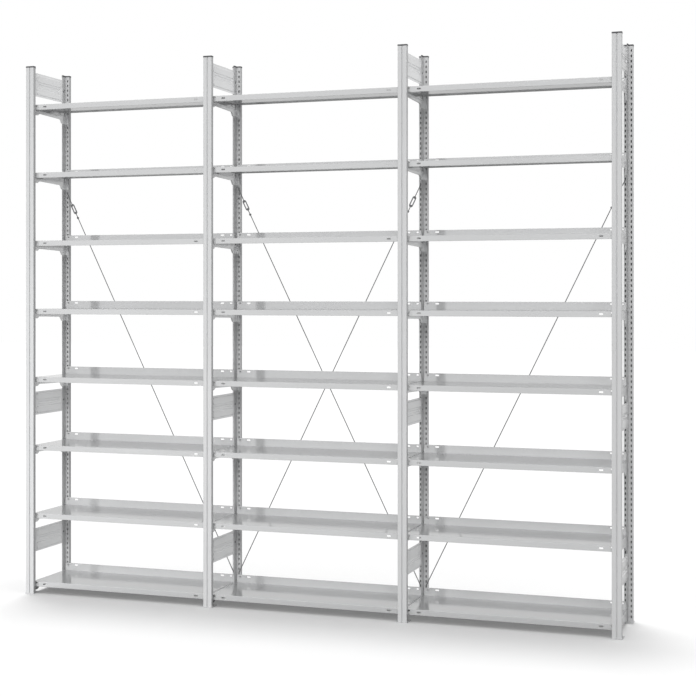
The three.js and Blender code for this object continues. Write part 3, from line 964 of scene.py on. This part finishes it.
def panelBolt():
    # round head with a key recess on one side, a low nut on the other
    inner = upright["webHalf"] + bolt["seat"]
    outer = upright["webHalf"] + bolt["gap"] + bolt["height"]
    radius = bolt["radius"]
    nut = radius * bolt["nutShare"]
    part = loft([
        ringAt(outer - bolt["keyDepth"], bolt["key"], hexagon=True),
        ringAt(outer, bolt["key"], hexagon=True),
        *[ringAt(outer - drop, radius * share) for drop, share in bolt["headSteps"]],
        ringAt(inner, radius),
        ringAt(inner, bolt["shank"]),
        ringAt(-inner, bolt["shank"]),
        ringAt(-inner, nut, hexagon=True),
        ringAt(-outer + bolt["nutBevel"], nut, hexagon=True),
        ringAt(-outer, nut, hexagon=True, limit=radius * bolt["nutCorner"]),
    ][::-1])
    return [(z, y, -x) for x, y, z in part[0]], part[1]


boltY = innerFlange + upright["boxDepth"] - upright["boltHoleDepth"]
boltSet = joined([movedBy(panelBolt(), y=y, z=z) for z in boltHeights for y in (-boltY, boltY)])
boltMesh = makeMesh("panel_bolts", boltSet, zincSteel)
for number in frameNumbers:
    addPiece(f"panel_bolts_{number}", boltMesh, "frame", placed(postX[number]))
print("panels and bolts made")


# Diagonal braces: two hooked rods drawn together by a turnbuckle, with a lock nut below it
brace = {
    "left": {"top": 1, "bottom": 2, "bow": 0},
    "middle_falling": {"top": 2, "bottom": 3, "bow": 0},
    "middle_rising": {"top": 3, "bottom": 2, "bow": 4.7},
    "right": {"top": 4, "bottom": 3, "bow": 0},
}
rod = {
    "radius": 2.2, "sides": 14, "gap": 0.3, "topSlot": 2076, "bottomSlot": 101,
    "bend": 3, "bendSteps": 8, "tail": 14, "tailBehindFlange": 7, "tipBevel": 0.6,
    "endInWindow": 17, "threadLength": 55, "threadPitch": 0.8, "threadDepth": 0.3,
}
turnbuckle = {
    "fromTop": 91, "length": 57, "width": 18, "thickness": 8, "bore": 2.4, "neckHalf": 5,
    "shoulder": 7, "window": 38, "windowShoulder": 3, "bar": 3.5, "cornerSteps": 4,
    "bodyRadius": 1.6, "windowRadius": 1, "bevel": 0.9, "bevelSteps": 2,
    "bevelAbove": 50, "sharpAbove": 40,  # degrees
}
lockNut = {
    "fromCentre": 53.5, "apothem": 5, "height": 8, "bore": 2.35, "chamfer": 0.7,
    "boreChamfer": 0.6, "cornerRound": 0.97,  # shares of chamfer and apothem
}


def braceLine(run):
    # each rod rests on the edge of its slot that takes the pull
    way = 1 if run["bottom"] > run["top"] else -1
    y = innerFlange - rod["gap"] - rod["radius"]
    edge = upright["slotHigh"] / 2 - rod["gap"] - rod["radius"]
    reach = way * upright["slotColumn"]
    start = Vector((postX[run["top"]] + reach, y, rod["topSlot"] - edge))
    end = Vector((postX[run["bottom"]] - reach, y, rod["bottomSlot"] + edge))
    along = (end - start).normalized()
    return start, end, along, start + along * turnbuckle["fromTop"]


def quarterTurn(begin, fromWay, toWay):
    points = []
    for k in range(rod["bendSteps"] + 1):
        angle = math.pi / 2 * k / rod["bendSteps"]
        points.append(begin + rod["bend"] * (math.sin(angle) * fromWay + (1 - math.cos(angle)) * toWay))
    return points


def hookPath(place, along):
    # a tail inside the post, out through the slot and over to the slope, towards along
    tailWay = Vector((0, 0, -math.copysign(1, along.z)))
    outward = Vector((0, -1, 0))
    tailFoot = Vector((place.x, innerFlange + rod["tailBehindFlange"], place.z))
    tailTip = tailFoot + tailWay * (rod["tail"] - rod["tipBevel"])
    return [
        tailTip,
        *quarterTurn(tailFoot + tailWay * rod["bend"], -tailWay, outward),
        *quarterTurn(place - outward * rod["bend"], outward, along),
    ]


def hookedRod(place, along, tip, via=()):
    path = hookPath(place, along) + list(via)
    radii = [rod["radius"]] * len(path)
    threadStart = tip - along * rod["threadLength"]
    if (threadStart - path[-1]).dot(along) > 0:
        path.append(threadStart)
        radii.append(rod["radius"])
    first = path[-1]
    turns = int((tip - first).length / rod["threadPitch"] * 2)
    for k in range(1, turns + 1):
        path.append(first.lerp(tip, k / turns))
        radii.append(rod["radius"] - (rod["threadDepth"] if k % 2 else 0))
    path.insert(0, path[0] + (path[0] - path[1]).normalized() * rod["tipBevel"])
    radii.insert(0, rod["radius"] - rod["tipBevel"])
    return tube(path, radii, rod["sides"])


def shouldered(halfWidth, endHalf, halfLength, shoulder, radius):
    right = [(endHalf, -halfLength), (halfWidth, -halfLength + shoulder),
             (halfWidth, halfLength - shoulder), (endHalf, halfLength)]
    return roundLoop(right + [(-x, z) for x, z in right[::-1]], radius, turnbuckle["cornerSteps"])


def turnbuckleMesh():
    length, width = turnbuckle["length"], turnbuckle["width"]
    inner = width / 2 - turnbuckle["bar"]
    body = shouldered(width / 2, turnbuckle["neckHalf"], length / 2, turnbuckle["shoulder"],
                      turnbuckle["bodyRadius"])
    window = shouldered(inner, inner / 2, turnbuckle["window"] / 2, turnbuckle["windowShoulder"],
                        turnbuckle["windowRadius"])
    half = turnbuckle["thickness"] / 2
    solid = plate(body, [window], -half, half, lambda x, z, y: (x, y, z))
    blank = newObject("turnbuckle_blank", makeMesh("turnbuckle_blank", solid, zincSteel))
    drill = loft([ringAt(z, turnbuckle["bore"]) for z in (-length, length)])
    cutter = newObject("bore_cutter", makeMesh("bore_cutter", drill, zincSteel))
    cut = blank.modifiers.new("bore", "BOOLEAN")
    cut.object = cutter
    cut.solver = "EXACT"
    edge = blank.modifiers.new("edges", "BEVEL")
    edge.width = turnbuckle["bevel"] * mm
    edge.segments = turnbuckle["bevelSteps"]
    edge.limit_method = "ANGLE"
    edge.angle_limit = math.radians(turnbuckle["bevelAbove"])
    made = bpy.data.meshes.new_from_object(blank.evaluated_get(bpy.context.evaluated_depsgraph_get()))
    made.name = "turnbuckle"
    made.shade_smooth()
    made.set_sharp_from_angle(angle=math.radians(turnbuckle["sharpAbove"]))
    for item in (blank, cutter):
        bpy.data.objects.remove(item)
    return made


def lockNutPart():
    half = lockNut["height"] / 2
    chamfer = lockNut["chamfer"]
    apothem = lockNut["apothem"]
    mouth = chamfer * lockNut["boreChamfer"]
    rings = []
    for sign in (-1, 1):
        side = [
            ringAt(sign * (half - mouth), lockNut["bore"]),
            ringAt(sign * half, lockNut["bore"] + mouth),
            ringAt(sign * half, apothem, hexagon=True, limit=apothem * lockNut["cornerRound"]),
            ringAt(sign * (half - chamfer), apothem, hexagon=True),
        ]
        rings += side if sign < 0 else side[::-1]
    return loft(rings, closed=True)


turnbuckleShape = turnbuckleMesh()
nutMesh = makeMesh("lock_nut", lockNutPart(), zincSteel)
for name, run in brace.items():
    start, end, along, centre = braceLine(run)
    crossing = (start + end) / 2 - Vector((0, run["bow"], 0))
    upper = hookedRod(start, along, centre - along * rod["endInWindow"])
    lower = hookedRod(end, -along, centre + along * rod["endInWindow"], [crossing] if run["bow"] else [])
    for piece, node, part in ((f"upper_rod_{name}", "hook", upper), (f"lower_rod_{name}", "rod", lower)):
        addPiece(piece, makeMesh(piece, part, zincSteel), "frame",
                 standsFor=[f"brace_{node}_{name}"])
    turn = Vector((0, 0, 1)).rotation_difference(along).to_matrix().to_4x4()
    place = Matrix.Translation(centre * mm) @ turn
    nutPlace = Matrix.Translation((centre + along * lockNut["fromCentre"]) * mm) @ turn
    addPiece(f"turnbuckle_body_{name}", turnbuckleShape, f"turnbuckle_{name}", place,
             [f"turnbuckle_{name}"])
    addPiece(f"rod_nut_{name}", nutMesh, "frame", nutPlace, [f"lock_nut_{name}"])
print("braces made")


# Floor, white surroundings and light
studio = {
    "floorSize": 60000, "floorColour": (0.8, 0.8, 0.8, 1), "floorBounce": (0.22, 0.22, 0.22, 1),
    "floorDrop": 0.5, "floorGlow": 0.17, "ambient": 0.53,
    "lowLampPlace": (-2000, -2900, 150), "lowLampSize": 1500, "lowLampWatts": 62,
}
# softness is in degrees, and from says where the light comes from
suns = {
    "overhead": {"strength": 1.3, "softness": 13, "from": (-0.03, 0.06, 1), "lights": "unit"},
    "key": {"strength": 2.15, "softness": 45, "from": (0.3, -2.0, 0.5), "lights": "unit",
            "mirrored": False},
    "footprint": {"strength": 0.25, "softness": 1.5, "from": (0, 0, 1), "lights": "floor"},
    "wideShadow": {"strength": 1.3, "softness": 12, "from": (-0.1, 0.15, 1), "lights": "floor"},
    "leftShadow": {"strength": 0.3, "softness": 12, "from": (0.12, 0.0, 1), "lights": "floor"},
}


def seenBy(tree, *rays):
    # 1 where one of the named rays looks at it, 0 where it only lights
    path = tree.nodes.new("ShaderNodeLightPath")
    seen = path.outputs[rays[0]]
    for ray in rays[1:]:
        seen = addMath(tree, "MAXIMUM", seen, path.outputs[ray])
    return seen


def addFloor():
    half = studio["floorSize"] / 2
    corners = [(-half, -half, 0), (half, -half, 0), (half, half, 0), (-half, half, 0)]
    material, tree, shader = newMaterial("studioFloor")
    seen = seenBy(tree, "Is Camera Ray", "Is Glossy Ray")
    shown = mixColour(tree, seen, studio["floorBounce"], studio["floorColour"])
    tree.links.new(shown, shader.inputs["Base Color"])
    setInputs(shader, {"Roughness": 1, "Specular IOR Level": 0, "Emission Color": (1, 1, 1, 1)})
    glow = addMath(tree, "MULTIPLY", seenBy(tree, "Is Camera Ray"), studio["floorGlow"])
    tree.links.new(glow, shader.inputs["Emission Strength"])
    mesh = bpy.data.meshes.new("studioFloor")
    mesh.from_pydata([[value * mm for value in corner] for corner in corners], [], [[0, 1, 2, 3]])
    mesh.materials.append(material)
    floor = newObject("studioFloor", mesh)
    floor.location.z = -studio["floorDrop"] * mm
    return floor


def addWorld():
    world = bpy.data.worlds.new("studioWorld")
    bpy.context.scene.world = world
    world.use_nodes = True
    tree = world.node_tree
    light = tree.nodes["Background"]
    light.inputs["Color"].default_value = (1, 1, 1, 1)
    seen = seenBy(tree, "Is Camera Ray", "Is Glossy Ray", "Is Transmission Ray")
    brighter = addMath(tree, "MULTIPLY", seen, 1 - studio["ambient"])
    tree.links.new(addMath(tree, "ADD", brighter, studio["ambient"]), light.inputs["Strength"])


def addLamp(name, kind, strength, floor, target):
    # it lights the floor alone, or all but the floor
    data = bpy.data.lights.new(name, kind)
    data.energy = strength
    lamp = newObject(name, data)
    group = bpy.data.collections.new(f"{name}Target")
    group.objects.link(floor)
    group.collection_objects[0].light_linking.link_state = "INCLUDE" if target == "floor" else "EXCLUDE"
    lamp.light_linking.receiver_collection = group
    return lamp


def addSun(name, sun, floor):
    lamp = addLamp(name, "SUN", sun["strength"], floor, sun["lights"])
    lamp.data.angle = math.radians(sun["softness"])
    lamp.rotation_mode = "QUATERNION"
    lamp.rotation_quaternion = Vector(sun["from"]).to_track_quat("Z", "Y")
    lamp.visible_glossy = sun.get("mirrored", True)


def addLowLamp(floor):
    # a wide lamp near the floor at the front left
    lamp = addLamp("lowLamp", "AREA", studio["lowLampWatts"], floor, "unit")
    lamp.data.size = studio["lowLampSize"] * mm
    lamp.location = [value * mm for value in studio["lowLampPlace"]]
    lamp.rotation_euler = (math.radians(90), 0, 0)
    lamp.visible_camera = False
    lamp.visible_glossy = False


studioFloor = addFloor()
addWorld()
addLowLamp(studioFloor)
for name, sun in suns.items():
    addSun(name, sun, studioFloor)
bpy.context.scene.view_settings.view_transform = "Standard"
print("floor and light placed")
